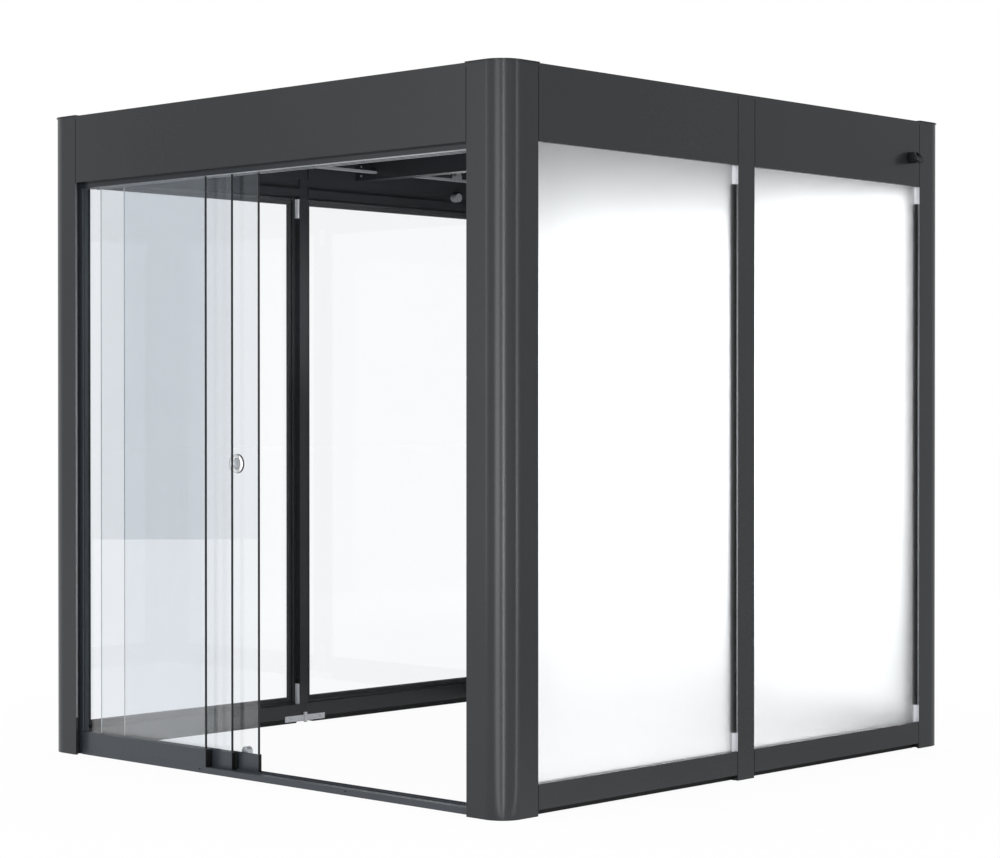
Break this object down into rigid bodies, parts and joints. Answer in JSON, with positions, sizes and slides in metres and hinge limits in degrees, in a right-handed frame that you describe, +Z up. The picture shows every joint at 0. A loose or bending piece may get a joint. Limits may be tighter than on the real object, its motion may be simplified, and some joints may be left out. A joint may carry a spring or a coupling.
{
  "type": "glazed pavilion with sliding door",
  "caption": "Free-standing square pavilion of dark painted aluminium with glazed walls, rounded corner posts and a stacking glass sliding door on the front face.",
  "frame": {"origin": "on the ground at the centre of the plan, midway between the outer faces of the posts", "axes": "+X to the right along the door face, -Y out of the door face, +Z up"},
  "size_m": [2.446, 2.489, 2.4],
  "materials": {
    "frame_paint": "anthracite grey powder coat, fine texture, satin",
    "door_paint": "anthracite grey powder coat, smooth satin",
    "frosted_glass": "toughened glass, satin etched on one face",
    "clear_glass": "clear toughened glass with polished edges",
    "black_rubber": "matt black glazing rubber",
    "black_plastic": "matt black",
    "bare_aluminium": "bare extruded aluminium, satin",
    "polished_steel": "bright polished steel"
  },
  "bodies": {
    "pavilion": {"post_front_right": "frame_paint", "post_front_left": "frame_paint", "post_back_right": "frame_paint", "post_back_left": "frame_paint", "post_caps": "frame_paint", "fascia_front": "frame_paint", "fascia_right": "frame_paint", "fascia_left": "frame_paint", "fascia_back": "frame_paint", "mullion_right": "frame_paint", "mullion_left": "frame_paint", "mullion_back": "frame_paint", "bottom_rails_right": "frame_paint", "bottom_rails_left": "frame_paint", "bottom_rails_back": "frame_paint", "base_strips": "black_plastic", "frosted_panes_right": "frosted_glass", "clear_panes_left": "clear_glass", "clear_panes_back": "clear_glass", "glazing_beads_right": "black_rubber", "glazing_beads_left": "black_rubber", "glazing_beads_back": "black_rubber", "glazing_rims": "frame_paint", "glass_clips": "bare_aluminium", "splice_plates": "bare_aluminium", "roof_deck": "frame_paint", "ceiling_beam": "frame_paint", "ceiling_bars": "bare_aluminium", "round_bosses": "bare_aluminium", "rain_spout": "frame_paint", "head_track": "frame_paint", "sill_track": "frame_paint", "jamb_left": "frame_paint", "jamb_right": "frame_paint", "outer_glass": "clear_glass", "outer_rail": "door_paint"},
    "middle_panel": {"middle_glass": "clear_glass", "middle_rail": "door_paint"},
    "inner_panel": {"inner_glass": "clear_glass", "inner_rail": "door_paint", "foot_catch": "bare_aluminium", "door_pull": "polished_steel"}
  },
  "joints": [
    {"name": "middle_panel_slide", "type": "slide", "parent": "pavilion", "child": "middle_panel", "axis": [1, 0, 0], "range_m": [0, 0.57283]},
    {"name": "inner_panel_slide", "type": "slide", "parent": "pavilion", "child": "inner_panel", "axis": [1, 0, 0], "range_m": [0, 1.14567]}
  ]
}
